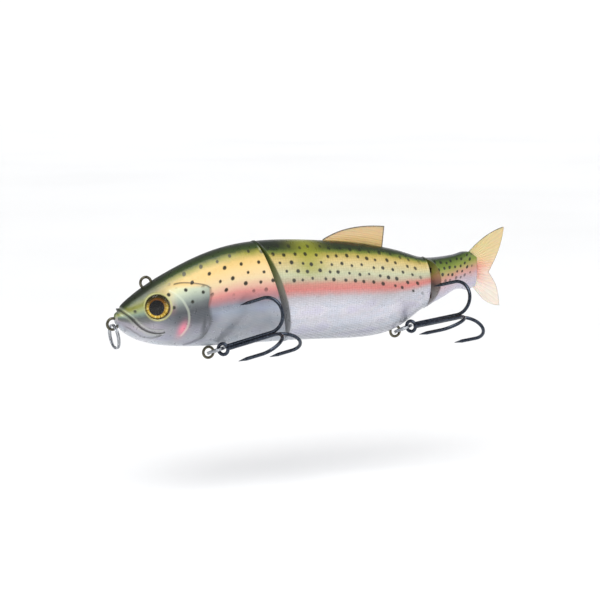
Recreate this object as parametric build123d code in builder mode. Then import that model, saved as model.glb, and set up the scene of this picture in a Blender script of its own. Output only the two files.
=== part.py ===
"""Three-section jointed swimbait with two treble hooks, in millimetres.

Frame: origin at the centre of the nose line eye, +X back along the fish, +Z up, and the fish's own
left flank on the -Y side. The head is the fixed section. The middle section swings on an upright pin
behind the head, and the tail section swings on a second upright pin behind the middle section.
"""

import math
import os

from build123d import *

os.makedirs("parts", exist_ok=True)

# --- driving dimensions -------------------------------------------------------------------------
WALL = 1.6  # moulded shell thickness
FIT = 0.05  # clearance round anything trapped between two half shells

# Body stations: distance back, top, bottom and half width of each elliptical section.
STATIONS = [
    (1.4, 4.6, 0.4, 1.7),
    (4.0, 7.9, -3.1, 3.9),
    (9.0, 11.8, -6.5, 6.2),
    (16.0, 16.2, -9.2, 8.2),
    (26.0, 21.3, -11.1, 9.8),
    (38.0, 26.4, -12.1, 10.8),
    (52.0, 30.5, -12.5, 11.4),
    (68.0, 32.3, -12.6, 11.6),
    (84.0, 32.1, -12.7, 11.6),
    (100.0, 30.9, -13.2, 11.2),
    (115.0, 29.2, -13.7, 10.5),
    (126.0, 27.3, -13.3, 9.7),
    (135.0, 25.3, -11.4, 9.0),
    (143.0, 22.9, -7.4, 8.3),
    (150.0, 20.8, -2.9, 7.7),
    (157.0, 20.4, -0.1, 6.9),
    (164.0, 20.8, 3.2, 5.6),
    (171.0, 22.2, 5.2, 3.9),
    (178.5, 24.2, 6.2, 2.3),
]

# Front joint: a face that leans forward at the top closes the head, and its pin is upright.
FRONT_FACE_TOP = (66.0, 32.0)  # X and Z of the head's rear face on the back ridge
FRONT_FACE_BOTTOM = (79.5, -12.5)  # and on the belly
FRONT_PIVOT = 80.6
FRONT_BEVEL = 17.0  # degrees each way that the middle section's nose is bevelled
FRONT_SLOT_WIDTH = 8.4

# Rear joint: an upright face closes the middle section.
REAR_FACE_X = 151.0
REAR_PIVOT = 154.0
REAR_BEVEL = 43.0
REAR_SLOT_WIDTH = 7.0

JOINT_GAP = 0.45
PIN_RADIUS = 1.0
PIN_CLEARANCE = 0.08
HINGE_WIRE = 0.65  # radius of the wire in the hinge eyes
SLOT_HEIGHT = 2.7  # of the slots that the hinge eyes swing in
SLOT_ROOM = 0.35  # beyond the hinge eye's loop

# Where the moulded cavities start and stop.
HEAD_SPACE_START = 11.5
HEAD_END_BLOCK = 9.6
MID_SPACE = (85.5, 142.5)
TAIL_SPACE = (160.0, 170.5)
BOSS_RADIUS = 4.4  # solid post left in the cavity round each anchored wire eye

# Wire line eyes and hook hangers: an outer loop, a neck and an anchor loop in the plane of symmetry.
EYE_WIRE = 0.6
EYE_LOOP = 2.4  # radius of the outer loop, to the middle of the wire
ANCHOR_LOOP = 1.9
EYE_NECK = 7.5  # between the two loop centres
WIRE_EYES = {  # outer loop's X and Z, and the direction (X, Z) of the neck
    "nose_line_eye": ((0.0, 0.0), (1.0, 0.18)),
    "crown_line_eye": ((15.3, 16.9), (0.62, -0.785)),
    "front_hook_hanger": ((44.3, -15.4), (0.0, 1.0)),
    "rear_hook_hanger": ((137.0, -12.4), (-0.24, 0.97)),
}

# Hinge eyes: pivot, height, and distance from the pin to the anchor loop.
HINGE_EYES = {
    "front_hinge_eye_lower": (FRONT_PIVOT, -1.5, 9.0),
    "front_hinge_eye_upper": (FRONT_PIVOT, 20.0, 15.5),
    "rear_hinge_eye_lower": (REAR_PIVOT, 3.6, 8.0),
    "rear_hinge_eye_upper": (REAR_PIVOT, 14.8, 8.0),
}
HINGE_LOOP = PIN_RADIUS + PIN_CLEARANCE + HINGE_WIRE
HINGE_PINS = {  # pivot, bottom and top
    "front_hinge_pin": (FRONT_PIVOT, -7.0, 25.5),
    "rear_hinge_pin": (REAR_PIVOT, 0.9, 17.9),
}

# Split rings: mean radius and the width and height of the doubled wire's section.
RING_RADIUS = 4.25
RING_SECTION = (0.8, 1.4)
NOSE_RING_RADIUS = 5.2
NOSE_RING_SECTION = (0.9, 1.5)
NOSE_RING_LEAN = 8.0  # degrees that the nose ring hangs back
RING_DROP = 0.35  # the rings rest this far below the middle of the eye that they hang from

# Treble hooks, measured from the middle of their eye.
HOOK_WIRE = 0.78
HOOK_EYE = 2.35  # radius of the hook's eye, to the middle of the wire
HOOK_SHANK = 25.2  # to the start of the bends
HOOK_BEND = 7.6
HOOK_POINT = 11.4  # from the end of the bend to the tip
HOOK_TIP = 4.0  # length of the sharpened part of it
SHANK_OFFSET = 0.86  # the three wires lie this far from the shank's axis

# Rest attitude: heading from the tail line towards the left flank, and climb, in degrees.
# The slide is round the ring, and the roll is the first arm's, about the shank from level outward.
SWUNG = {  # hanger, ring heading, ring climb, slide, hook heading, hook climb, hook roll
    "front": ("front_hook_hanger", 44.0, 20.0, 28.0, 52.0, 19.0, -25.0),
    "rear": ("rear_hook_hanger", 43.0, 24.0, 14.0, 62.0, 15.0, -15.0),
}

# Eyes.
EYE_CENTRE = (17.4, -8.6, 7.2)
EYE_AXIS = (-0.22, -0.975, 0.04)
EYE_RADIUS = 5.3
EYE_FLOOR = 2.0  # depth of the socket's floor under the eye's centre
EYE_BACKING = 1.2  # wall left behind the floor
FOIL_THICKNESS = 0.3
LENS_EDGE = 1.3  # height of the lens over the floor at its edge
LENS_CROWN = 2.9

# Fins and ballast.
FIN_THICKNESS = 1.1
CAUDAL_TONGUE = (173.5, 179.6, 11.5, 17.5)  # X and Z limits of the root that plugs into the tail
BALLAST_RADIUS = 3.6
BALLAST_CRADLE = 1.4
BALLAST = {  # front, rear and height
    "head_ballast": (50.5, 64.5, -6.3),
    "mid_ballast": (100.0, 117.0, -7.2),
}


# --- planes of the joints -----------------------------------------------------------------------
def face_plane(top, bottom):
    """The plane through two points of the symmetry plane and square to it, facing back."""
    run, drop = bottom[0] - top[0], top[1] - bottom[1]
    return Plane(origin=(top[0], 0, top[1]), x_dir=(0, 1, 0), z_dir=(drop, 0, run))


def swung(plane, pivot_x, angle):
    """The plane turned about the upright axis at pivot_x."""
    axis = Axis((pivot_x, 0, 0), (0, 0, 1))
    turn = Rotation(0, 0, angle)
    centre = Vector(pivot_x, 0, 0)
    origin = centre + (turn * Pos(*(plane.origin - centre))).position
    normal = plane.z_dir.rotate(axis, angle)
    return Plane(origin=origin, z_dir=normal)


FRONT_FACE = face_plane(FRONT_FACE_TOP, FRONT_FACE_BOTTOM)
REAR_FACE = Plane.YZ.offset(REAR_FACE_X)


def heading(yaw, climb):
    """Unit vector turned from +X towards the left flank by yaw, and climbing, both in degrees."""
    a, c = math.radians(yaw), math.radians(climb)
    return Vector(math.cos(c) * math.cos(a), -math.cos(c) * math.sin(a), math.sin(c))


def outward(yaw):
    """Level unit vector square to a heading, pointing away from the left flank."""
    return Vector(-math.sin(math.radians(yaw)), -math.cos(math.radians(yaw)), 0)


# --- body skin and cavity -----------------------------------------------------------------------
def body(inset, first, last):
    """The fish lofted through its stations from first to last, drawn in by inset."""
    with BuildPart() as fish:
        for x, top, bottom, half_width in STATIONS:
            if first <= x <= last:
                with BuildSketch(Plane.YZ.offset(x)):
                    with Locations((0, (top + bottom) / 2)):
                        Ellipse(half_width - inset, (top - bottom) / 2 - inset)
        loft()
    return fish.part


skin = body(0.0, 1.4, 178.5)
cavity = body(WALL, 9.0, 178.5)


# --- wire eyes, hinge eyes and pins -------------------------------------------------------------
def double_loop(plane, loop, anchor, neck, wire):
    """A loop round the plane's origin, an anchor loop along its X, and the neck between them."""
    start, end = loop * 0.95, neck - anchor * 0.95
    with BuildPart() as eye:
        with Locations(plane):
            Torus(loop, wire)
            with Locations((neck, 0, 0)):
                Torus(anchor, wire)
            with Locations(Location(((start + end) / 2, 0, 0), (0, 90, 0))):
                Cylinder(wire, end - start)
    return eye


def wire_eye(name, grow=0.0):
    """A line eye or hook hanger, its wire thickened by grow when it is used to cut its pocket."""
    (x, z), (dx, dz) = WIRE_EYES[name]
    plane = Plane(origin=(x, 0, z), x_dir=(dx, 0, dz), z_dir=(0, 1, 0))
    return double_loop(plane, EYE_LOOP, ANCHOR_LOOP, EYE_NECK, EYE_WIRE + grow)


def hinge_eye(name, grow=0.0):
    """A hinge eye round its upright pin, with the neck running forward."""
    x, z, neck = HINGE_EYES[name]
    plane = Plane(origin=(x, 0, z), x_dir=(-1, 0, 0), z_dir=(0, 0, 1))
    return double_loop(plane, HINGE_LOOP, HINGE_LOOP, neck, HINGE_WIRE + grow)


def hinge_pin(name, grow=0.0):
    """An upright pin between two heights."""
    x, bottom, top = HINGE_PINS[name]
    with BuildPart(Plane.XY.offset(bottom - grow)) as pin:
        with Locations((x, 0)):
            Cylinder(PIN_RADIUS + grow, top - bottom + 2 * grow, align=(Align.CENTER, Align.CENTER, Align.MIN))
    return pin


def ballast(name, grow=0.0):
    """A round slug lying along the keel."""
    front, rear, height = BALLAST[name]
    with BuildPart() as slug:
        with BuildSketch(Plane.YZ.offset(front - grow)):
            with Locations((0, height)):
                Circle(BALLAST_RADIUS + grow)
        extrude(amount=rear - front + 2 * grow)
    return slug


def cradle(name):
    """The block that holds a slug from below, which the cavity leaves standing."""
    front, rear, height = BALLAST[name]
    with BuildPart() as block:
        with BuildSketch(Plane.YZ.offset(front - BALLAST_CRADLE)):
            with Locations((0, height)):
                Rectangle(60, 40, align=(Align.CENTER, Align.MAX))
        extrude(amount=rear - front + 2 * BALLAST_CRADLE)
    return block


def boss(name):
    """The post left in a cavity round the anchor loop of a wire eye."""
    (x, z), (dx, dz) = WIRE_EYES[name]
    scale = EYE_NECK / math.hypot(dx, dz)
    with BuildPart() as post:
        with BuildSketch(Plane.XZ):
            with Locations((x + dx * scale, z + dz * scale)):
                Circle(BOSS_RADIUS)
        extrude(amount=30, both=True)
    return post


def hinge_slot(name, width):
    """The level slot in a section's bevelled nose that a hinge eye swings in."""
    x, z, _ = HINGE_EYES[name]
    back = HINGE_LOOP + HINGE_WIRE + SLOT_ROOM
    with BuildPart(Plane.XY.offset(z)) as slot:
        with Locations((x + back, 0)):
            Box(40, width, SLOT_HEIGHT, align=(Align.MAX, Align.CENTER, Align.CENTER))
    return slot


# --- fins ---------------------------------------------------------------------------------------
def dorsal(thickness):
    """Dorsal fin: sloping front edge, upright rear edge, and a root through the back's wall."""
    with BuildPart() as fin:
        with BuildSketch(Plane.XZ):
            with BuildLine():
                Spline((99.8, 31.4), (108.7, 34.9), (120.8, 36.5), (131.2, 36.0), tangents=((2, 1), (1, -0.1)))
                Polyline((131.2, 36.0), (130.4, 26.9), (130.0, 23.8), (116.0, 26.4), (104.0, 28.2), (99.8, 31.4))
            make_face()
        extrude(amount=thickness / 2, both=True)
    return fin


def caudal(thickness):
    """Forked tail fin with two swept lobes and a tongue that plugs into the tail section."""
    front, rear, low, high = CAUDAL_TONGUE
    with BuildPart() as fin:
        with BuildSketch(Plane.XZ):
            with BuildLine():
                Spline((179.0, 22.6), (180.8, 27.2), (186.6, 30.9), (194.2, 33.0), tangents=((0.3, 1), (2, 0.4)))
                Spline((194.2, 33.0), (191.6, 22.3), (186.2, 12.0), tangents=((-0.1, -1), (-1, -1.6)))
                Spline((186.2, 12.0), (190.6, 5.0), (192.3, -4.0), tangents=((1, -1.3), (0.1, -1)))
                Spline((192.3, -4.0), (185.0, -1.6), (179.0, 5.0), tangents=((-1, 0.1), (-0.5, 1)))
                Line((179.0, 5.0), (179.0, 22.6))
            make_face()
            with Locations(((front + rear) / 2, (low + high) / 2)):
                Rectangle(rear - front, high - low)
        extrude(amount=thickness / 2, both=True)
    return fin


def caudal_slot():
    """The slot in the tail section that takes the fin's tongue."""
    front, rear, low, high = CAUDAL_TONGUE
    with BuildPart() as slot:
        with BuildSketch(Plane.XZ):
            with Locations(((front + rear) / 2, (low + high) / 2)):
                Rectangle(rear - front + 2 * FIT, high - low + 2 * FIT)
        extrude(amount=FIN_THICKNESS / 2 + FIT, both=True)
    return slot


# --- eyes ---------------------------------------------------------------------------------------
def eye_floor(side):
    """Plane on the floor of an eye's socket, facing out: side is -1 on the left, 1 on the right."""
    x, y, z = EYE_CENTRE
    normal = Vector(EYE_AXIS[0], -side * EYE_AXIS[1], EYE_AXIS[2]).normalized()
    return Plane(origin=Vector(x, -side * y, z) - normal * EYE_FLOOR, z_dir=normal)


def eye_foil(side):
    """The printed foil disc on the socket's floor."""
    with BuildPart(eye_floor(side)) as foil:
        Cylinder(EYE_RADIUS - FIT, FOIL_THICKNESS, align=(Align.CENTER, Align.CENTER, Align.MIN))
    return foil


def eye_lens(side):
    """The clear lens over the foil: a short drum topped by part of a sphere."""
    radius = EYE_RADIUS - FIT
    rise = LENS_CROWN - LENS_EDGE
    ball = (radius**2 + rise**2) / (2 * rise)
    with BuildPart(eye_floor(side).offset(FOIL_THICKNESS)) as lens:
        Cylinder(radius, LENS_CROWN - FOIL_THICKNESS, align=(Align.CENTER, Align.CENTER, Align.MIN))
        with Locations((0, 0, LENS_CROWN - FOIL_THICKNESS - ball)):
            Sphere(ball, mode=Mode.INTERSECT)
    return lens


def eye_socket(side, radius, depth_below=0.0, height=9.0):
    """A round space over the socket's floor, or over a plane below it."""
    with BuildPart(eye_floor(side).offset(-depth_below)) as socket:
        Cylinder(radius, height, align=(Align.CENTER, Align.CENTER, Align.MIN))
    return socket


# --- split rings and treble hooks ---------------------------------------------------------------
def split_ring(plane, radius, section):
    """A split ring about the plane's normal, as one band of the doubled wire's width."""
    with BuildPart() as ring:
        with BuildSketch(Plane(origin=plane.origin, x_dir=plane.x_dir, z_dir=-plane.y_dir)):
            with Locations((radius, 0)):
                RectangleRounded(section[0], section[1], section[0] * 0.4)
        revolve(axis=Axis(plane.origin, plane.z_dir))
    return ring


def ring_pose(which):
    """The ring's plane, and the point where the hook's eye rides on it."""
    hanger, yaw, climb, slide, *_ = SWUNG[which]
    (x, z), _ = WIRE_EYES[hanger]
    along = heading(yaw, climb)
    side = outward(yaw)
    centre = Vector(x, 0, z - RING_DROP) + along * RING_RADIUS
    plane = Plane(origin=centre, x_dir=along, z_dir=side.cross(along))
    s = math.radians(slide)
    ride = centre + (along * math.cos(s) + side * math.sin(s)) * RING_RADIUS
    return plane, ride


def treble(which):
    """A treble hook whose eye rides on its split ring."""
    *_, yaw, climb, roll = SWUNG[which]
    _, ride = ring_pose(which)
    along, side = heading(yaw, climb), outward(yaw)
    up = side.cross(along)
    if up.Z < 0:
        up = up * -1
    centre = ride - up * RING_DROP
    reach = SHANK_OFFSET + 2 * HOOK_BEND
    with BuildPart() as hook:
        with Locations(Plane(origin=centre, x_dir=along, z_dir=side)):
            Torus(HOOK_EYE, HOOK_WIRE)
        for arm in range(3):
            turn = math.radians(roll + 120 * arm)
            radial = side * math.cos(turn) + up * math.sin(turn)
            plane = Plane(origin=centre, x_dir=along, z_dir=along.cross(radial))
            with BuildLine(plane) as path:
                Line((HOOK_EYE, SHANK_OFFSET), (HOOK_SHANK, SHANK_OFFSET))
                ThreePointArc(
                    (HOOK_SHANK, SHANK_OFFSET),
                    (HOOK_SHANK + HOOK_BEND, SHANK_OFFSET + HOOK_BEND),
                    (HOOK_SHANK, reach),
                )
                Line((HOOK_SHANK, reach), (HOOK_SHANK - HOOK_POINT + HOOK_TIP, reach))
            with BuildSketch(Plane(origin=path.line @ 0, z_dir=path.line % 0)):
                Circle(HOOK_WIRE)
            sweep(path=path.line)
            with Locations(Plane(origin=path.line @ 1, z_dir=path.line % 1)):
                Cone(HOOK_WIRE, 0.12, HOOK_TIP, align=(Align.CENTER, Align.CENTER, Align.MIN))
    return hook


# --- the three sections -------------------------------------------------------------------------
with BuildPart() as head_space:
    add(cavity)
    split(bisect_by=Plane.YZ.offset(HEAD_SPACE_START), keep=Keep.TOP)
    split(bisect_by=FRONT_FACE.offset(-HEAD_END_BLOCK), keep=Keep.BOTTOM)
    for eye_name in ("crown_line_eye", "front_hook_hanger"):
        add(boss(eye_name).part, mode=Mode.SUBTRACT)
    add(cradle("head_ballast").part, mode=Mode.SUBTRACT)
    for flank in (-1, 1):
        add(eye_socket(flank, EYE_RADIUS + WALL, EYE_BACKING).part, mode=Mode.SUBTRACT)

with BuildPart() as mid_space:
    add(cavity)
    split(bisect_by=Plane.YZ.offset(MID_SPACE[0]), keep=Keep.TOP)
    split(bisect_by=Plane.YZ.offset(MID_SPACE[1]), keep=Keep.BOTTOM)
    add(boss("rear_hook_hanger").part, mode=Mode.SUBTRACT)
    add(cradle("mid_ballast").part, mode=Mode.SUBTRACT)

with BuildPart() as tail_space:
    add(cavity)
    split(bisect_by=Plane.YZ.offset(TAIL_SPACE[0]), keep=Keep.TOP)
    split(bisect_by=Plane.YZ.offset(TAIL_SPACE[1]), keep=Keep.BOTTOM)

with BuildPart() as head_body:
    add(skin)
    split(bisect_by=FRONT_FACE, keep=Keep.BOTTOM)
    add(head_space.part, mode=Mode.SUBTRACT)
    for eye_name in ("nose_line_eye", "crown_line_eye", "front_hook_hanger"):
        add(wire_eye(eye_name, FIT).part, mode=Mode.SUBTRACT)
    for eye_name in ("front_hinge_eye_lower", "front_hinge_eye_upper"):
        add(hinge_eye(eye_name, FIT).part, mode=Mode.SUBTRACT)
    add(ballast("head_ballast", FIT).part, mode=Mode.SUBTRACT)
    for flank in (-1, 1):
        add(eye_socket(flank, EYE_RADIUS).part, mode=Mode.SUBTRACT)

with BuildPart() as mid_body:
    add(skin)
    for bevel in (0, -FRONT_BEVEL, FRONT_BEVEL):
        split(bisect_by=swung(FRONT_FACE.offset(JOINT_GAP), FRONT_PIVOT, bevel), keep=Keep.TOP)
    split(bisect_by=REAR_FACE, keep=Keep.BOTTOM)
    add(mid_space.part, mode=Mode.SUBTRACT)
    for eye_name in ("front_hinge_eye_lower", "front_hinge_eye_upper"):
        add(hinge_slot(eye_name, FRONT_SLOT_WIDTH).part, mode=Mode.SUBTRACT)
    add(hinge_pin("front_hinge_pin", FIT).part, mode=Mode.SUBTRACT)
    for eye_name in ("rear_hinge_eye_lower", "rear_hinge_eye_upper"):
        add(hinge_eye(eye_name, FIT).part, mode=Mode.SUBTRACT)
    add(wire_eye("rear_hook_hanger", FIT).part, mode=Mode.SUBTRACT)
    add(ballast("mid_ballast", FIT).part, mode=Mode.SUBTRACT)
    add(dorsal(FIN_THICKNESS + 2 * FIT).part, mode=Mode.SUBTRACT)

with BuildPart() as tail_body:
    add(skin)
    for bevel in (0, -REAR_BEVEL, REAR_BEVEL):
        split(bisect_by=swung(REAR_FACE.offset(JOINT_GAP), REAR_PIVOT, bevel), keep=Keep.TOP)
    add(tail_space.part, mode=Mode.SUBTRACT)
    for eye_name in ("rear_hinge_eye_lower", "rear_hinge_eye_upper"):
        add(hinge_slot(eye_name, REAR_SLOT_WIDTH).part, mode=Mode.SUBTRACT)
    add(hinge_pin("rear_hinge_pin", FIT).part, mode=Mode.SUBTRACT)
    add(caudal_slot().part, mode=Mode.SUBTRACT)


def right_half(section):
    """The moulded half of a section on the fish's right flank."""
    with BuildPart() as half:
        add(section.part)
        split(bisect_by=Plane.XZ, keep=Keep.BOTTOM)
    return half


def left_half(section):
    """The moulded half on the left flank, the mirror image of the right one."""
    with BuildPart() as half:
        mirror(right_half(section).part, about=Plane.XZ)
    return half


# --- finished pieces ----------------------------------------------------------------------------
nose_drop = Vector(0, 0, -RING_DROP)
nose_down = Vector(0, 0, -1).rotate(Axis.Y, -NOSE_RING_LEAN)
nose_plane = Plane(origin=nose_drop + nose_down * NOSE_RING_RADIUS, x_dir=(0, 1, 0), z_dir=nose_down.cross(Vector(0, 1, 0)))

pieces = {
    "head_shell_left": left_half(head_body),
    "head_shell_right": right_half(head_body),
    "mid_shell_left": left_half(mid_body),
    "mid_shell_right": right_half(mid_body),
    "tail_shell_left": left_half(tail_body),
    "tail_shell_right": right_half(tail_body),
    "eye_foil_left": eye_foil(-1),
    "eye_foil_right": eye_foil(1),
    "eye_lens_left": eye_lens(-1),
    "eye_lens_right": eye_lens(1),
    "dorsal_fin": dorsal(FIN_THICKNESS),
    "caudal_fin": caudal(FIN_THICKNESS),
    "nose_split_ring": split_ring(nose_plane, NOSE_RING_RADIUS, NOSE_RING_SECTION),
}
for name in WIRE_EYES:
    pieces[name] = wire_eye(name)
for name in HINGE_EYES:
    pieces[name] = hinge_eye(name)
for name in HINGE_PINS:
    pieces[name] = hinge_pin(name)
for name in BALLAST:
    pieces[name] = ballast(name)
for which in SWUNG:
    pieces[f"{which}_split_ring"] = split_ring(ring_pose(which)[0], RING_RADIUS, RING_SECTION)
    pieces[f"{which}_treble_hook"] = treble(which)

for name, piece in pieces.items():
    piece.part.label = name
    export_step(piece.part, f"parts/{name}.step")
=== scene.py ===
"""Jointed trout swimbait: painted skins, soft fins, domed eyes, coiled split rings and treble hooks."""

import math

import bpy
import numpy as np
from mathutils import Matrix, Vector
from mathutils.bvhtree import BVHTree


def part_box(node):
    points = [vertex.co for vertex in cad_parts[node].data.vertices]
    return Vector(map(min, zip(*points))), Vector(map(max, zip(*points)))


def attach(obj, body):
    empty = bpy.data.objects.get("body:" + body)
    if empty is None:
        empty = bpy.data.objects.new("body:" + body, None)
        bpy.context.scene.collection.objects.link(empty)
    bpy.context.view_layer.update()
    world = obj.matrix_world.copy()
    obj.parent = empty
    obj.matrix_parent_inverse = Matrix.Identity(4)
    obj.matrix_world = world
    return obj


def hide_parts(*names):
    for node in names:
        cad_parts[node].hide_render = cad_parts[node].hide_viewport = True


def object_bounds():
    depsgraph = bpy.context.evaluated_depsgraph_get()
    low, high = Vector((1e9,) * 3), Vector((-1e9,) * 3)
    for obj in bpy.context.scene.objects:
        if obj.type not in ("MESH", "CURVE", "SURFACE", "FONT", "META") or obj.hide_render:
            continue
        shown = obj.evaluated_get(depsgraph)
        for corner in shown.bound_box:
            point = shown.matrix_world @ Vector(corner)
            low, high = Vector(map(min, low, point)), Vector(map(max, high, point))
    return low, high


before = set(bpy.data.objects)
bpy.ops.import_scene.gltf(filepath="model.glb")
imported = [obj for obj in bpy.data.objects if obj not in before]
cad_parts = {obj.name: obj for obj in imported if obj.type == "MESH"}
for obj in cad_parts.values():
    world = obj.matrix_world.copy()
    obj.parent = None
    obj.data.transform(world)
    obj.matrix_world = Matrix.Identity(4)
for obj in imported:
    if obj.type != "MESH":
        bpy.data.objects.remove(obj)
cad_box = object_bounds()

MM = 0.001
FAR = 90.0  # mm, where measuring rays start
SKIN_STEP = 0.34  # mm between the skins' rows
SKIN_COLUMNS = 400  # points round each row
LOW_Z = cad_box[0][2]


# --- measuring the frame ------------------------------------------------------------------------
def tree(*names):
    """A ray-casting tree over the named CAD nodes."""
    verts, polys = [], []
    for name in names:
        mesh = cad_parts[name].data
        start = len(verts)
        verts += [v.co.copy() for v in mesh.vertices]
        polys += [[start + i for i in p.vertices] for p in mesh.polygons]
    return BVHTree.FromPolygons(verts, polys)


def cast(bvh, origin, direction):
    """Where a ray first meets the tree, in mm, or None."""
    point = bvh.ray_cast(Vector(origin) * MM, Vector(direction))[0]
    return None if point is None else np.array(point) / MM


def cad_points(name):
    """A CAD node's vertices, in mm."""
    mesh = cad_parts[name].data
    co = np.empty(len(mesh.vertices) * 3)
    mesh.vertices.foreach_get("co", co)
    return co.reshape(-1, 3) / MM


SHELLS = {part: (f"{part}_shell_left", f"{part}_shell_right") for part in ("head", "mid", "tail")}
body_tree = tree(*[name for pair in SHELLS.values() for name in pair])
part_trees = {part: tree(*pair) for part, pair in SHELLS.items()}

# Stations between the joints, where the whole section can be measured.
STATIONS = [1.6, 2.8, 4.2, 6.5, 9.0, 12.5, 16.0, 21.0, 26.0, 32.0, 38.0, 45.0, 52.0, 59.0, 64.5]
STATIONS += [86.0, 93.0, 100.0, 108.0, 115.0, 121.0, 126.0, 131.0, 135.0, 139.0, 143.0, 147.0, 150.3]
STATIONS += [160.5, 164.0, 168.0, 171.0, 175.0, 178.2]


def station(x):
    """Middle height, half height and half width of the CAD body's elliptical section at x."""
    aside = 0.05 if x < 10 else 0.8  # past the slots and wire pockets on the seam
    top = cast(body_tree, (x, aside, FAR), (0, 0, -1))[2]
    bottom = cast(body_tree, (x, aside, -FAR), (0, 0, 1))[2]
    middle, half = (top + bottom) / 2, (top - bottom) / 2
    width = abs(cast(body_tree, (x, -FAR, middle - 0.6 * half), (0, 1, 0))[1]) / 0.8
    return middle, half / math.sqrt(1 - (aside / width) ** 2), width


measured = np.array([station(x) for x in STATIONS])
knots = np.array(STATIONS)
gaps = np.diff(knots)[:, None]
slopes = np.diff(measured, axis=0) / gaps
inner = (slopes[:-1] * gaps[1:] + slopes[1:] * gaps[:-1]) / (gaps[:-1] + gaps[1:])
tangents = np.vstack([slopes[:1], inner, slopes[-1:]])


def section(x):
    """Middle height, half height and half width at any x, on a smooth curve through the stations."""
    x = np.asarray(x, float)
    i = np.clip(np.searchsorted(knots, x) - 1, 0, len(knots) - 2)
    gap = gaps[i, 0]
    t = np.clip((x - knots[i]) / gap, -0.25, 1.25)[..., None]
    g = gap[..., None]
    a, b = measured[i], measured[i + 1]
    ta, tb = tangents[i] * g, tangents[i + 1] * g
    value = (2 * t**3 - 3 * t**2 + 1) * a + (t**3 - 2 * t**2 + t) * ta + (3 * t**2 - 2 * t**3) * b + (t**3 - t**2) * tb
    return value[..., 0], value[..., 1], value[..., 2]


def surface(x, angle):
    """Points of the body's skin: angle 0 is the back ridge and pi/2 the right flank."""
    middle, half, width = section(x)
    return np.stack([x + 0 * angle, width * np.sin(angle), middle + half * np.cos(angle)], -1)


# --- joint faces --------------------------------------------------------------------------------
def face_through(bvh, spots, direction):
    """Coefficients of x = a + b*y + c*z through the points where rays along X meet a face."""
    start = -FAR if direction > 0 else 3 * FAR
    hits = [cast(bvh, (start, y, z), (direction, 0, 0)) for y, z in spots]
    rows = [[1, p[1], p[2]] for p in hits]
    return np.linalg.solve(rows, [p[0] for p in hits])


def plane_x(face, y, z):
    """X of a face at (y, z); the face is mirrored on the left flank."""
    return face[0] + face[1] * np.abs(y) + face[2] * z


head_rear = [face_through(part_trees["head"], [(3, 26), (6, 12), (3, -8)], -1)]
mid_front = [
    face_through(part_trees["mid"], [(0.4, 12), (0.7, 8), (0.4, 2)], 1),
    face_through(part_trees["mid"], [(8.5, 16), (9, 4), (6.5, -6)], 1),
]
mid_rear = [face_through(part_trees["mid"], [(3, 16), (5, 9), (3, 1)], -1)]
tail_front = [
    face_through(part_trees["tail"], [(0.3, 10), (0.6, 8), (0.3, 7)], 1),
    face_through(part_trees["tail"], [(4.2, 10), (5.4, 9), (4.2, 7)], 1),
]


def joint_x(faces, y, z):
    """X of a joint's end, the hindmost of its faces."""
    return np.max([plane_x(face, y, z) for face in faces], axis=0)


def edge(faces, angle, guess):
    """X where the skin meets a joint's faces, for each angle."""
    x = np.full_like(angle, guess)
    for _ in range(40):
        p = surface(x, angle)
        x = 0.5 * x + 0.5 * joint_x(faces, p[..., 1], p[..., 2])
    return x


# --- skins --------------------------------------------------------------------------------------
def smooth(low, high, v):
    """0 below low, 1 above high, and an even curve between."""
    t = np.clip((v - low) / (high - low), 0, 1)
    return t * t * (3 - 2 * t)


def normals_of(grid):
    """Outward normals of a grid of points whose second axis runs round the body."""
    along = np.gradient(grid, axis=0)
    wrapped = np.concatenate([grid[:, -1:], grid, grid[:, :1]], axis=1)
    around = (wrapped[:, 2:] - wrapped[:, :-2]) / 2
    n = np.cross(around, along)
    return n / np.maximum(np.linalg.norm(n, axis=-1, keepdims=True), 1e-9)


def to_line(points, line):
    """Distance from points (x, z) to a broken line, and the place along it from 0 to 1."""
    line = np.array(line, float)
    best, place = np.full(points.shape[:-1], 1e9), np.zeros(points.shape[:-1])
    lengths = np.linalg.norm(np.diff(line, axis=0), axis=1)
    total, walked = lengths.sum(), 0.0
    for a, b, length in zip(line[:-1], line[1:], lengths):
        ab = b - a
        t = np.clip(((points - a) @ ab) / (ab @ ab), 0, 1)
        d = np.linalg.norm(points - (a + t[..., None] * ab), axis=-1)
        closer = d < best
        best = np.where(closer, d, best)
        place = np.where(closer, (walked + t * length) / total, place)
        walked += length
    return best, place


def curve_points(points, steps=8):
    """A smooth line through points, as Catmull-Rom pieces."""
    p = np.array([points[0], *points, points[-1]], float)
    out = []
    for i in range(1, len(p) - 2):
        for s in np.linspace(0, 1, steps, endpoint=False):
            a, b, c, d = p[i - 1 : i + 3]
            out.append(0.5 * (
                2 * b + (c - a) * s
                + (2 * a - 5 * b + 4 * c - d) * s**2 + (3 * b - a - 3 * c + d) * s**3
            ))
    return np.array([*out, p[-2]])


def add_mesh(name, verts, faces, fields=None, smooth_faces=True):
    """A mesh object from points in mm, with its point fields stored as attributes."""
    mesh = bpy.data.meshes.new(name)
    mesh.from_pydata((np.asarray(verts) * MM).tolist(), [], faces)
    for key, values in (fields or {}).items():
        layer = mesh.attributes.new(key, "FLOAT", "POINT")
        layer.data.foreach_set("value", np.ascontiguousarray(values, dtype=np.float32).ravel())
    mesh.polygons.foreach_set("use_smooth", [smooth_faces] * len(mesh.polygons))
    mesh.update()
    obj = bpy.data.objects.new(name, mesh)
    bpy.context.scene.collection.objects.link(obj)
    return obj


def ring_faces(first, second, count):
    """Quads between two rings of points that start at the given indices."""
    return [(first + j, second + j, second + (j + 1) % count, first + (j + 1) % count) for j in range(count)]


CAP_RINGS = 14
EDGE_ROUND = 0.35  # mm, radius that softens a skin's open edges


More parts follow.
